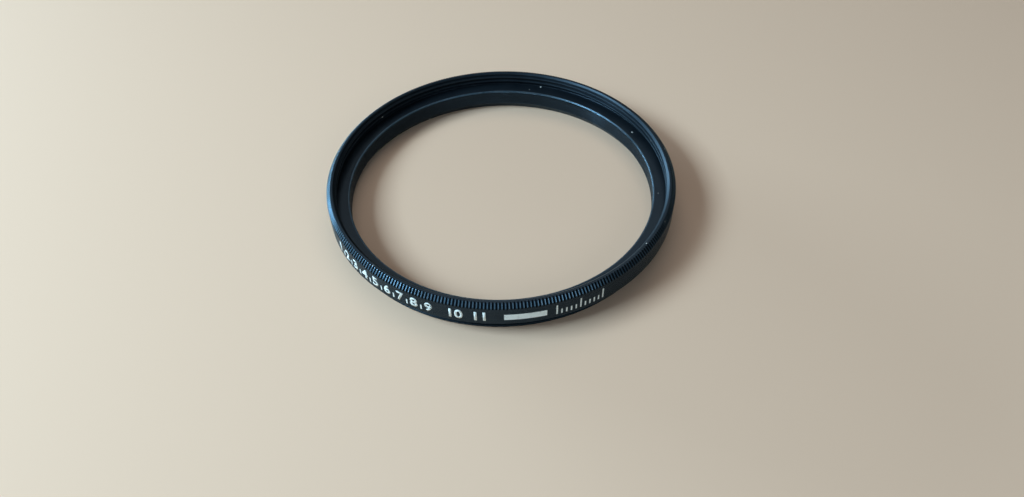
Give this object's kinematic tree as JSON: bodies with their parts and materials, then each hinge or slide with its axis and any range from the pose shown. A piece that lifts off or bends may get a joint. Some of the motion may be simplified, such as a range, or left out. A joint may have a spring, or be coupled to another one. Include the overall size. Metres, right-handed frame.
{
  "type": "filter extension ring",
  "caption": "Turned black aluminium ring that spaces a screw-in filter from a lens: female filter thread and seat lip above, male thread spigot below, knurled bevel round the rim.",
  "frame": {"origin": "on the ring's axis, at the flat foot of the male thread spigot", "axes": "+Z along the ring's axis, from the male thread towards the female thread; X and Y are free"},
  "size_m": [0.054, 0.054, 0.0063],
  "materials": {
    "black_anodised": "black anodised, satin",
    "white_print": "white printed ink"
  },
  "bodies": {
    "root": {"extension_ring": "black_anodised"}
  },
  "joints": []
}
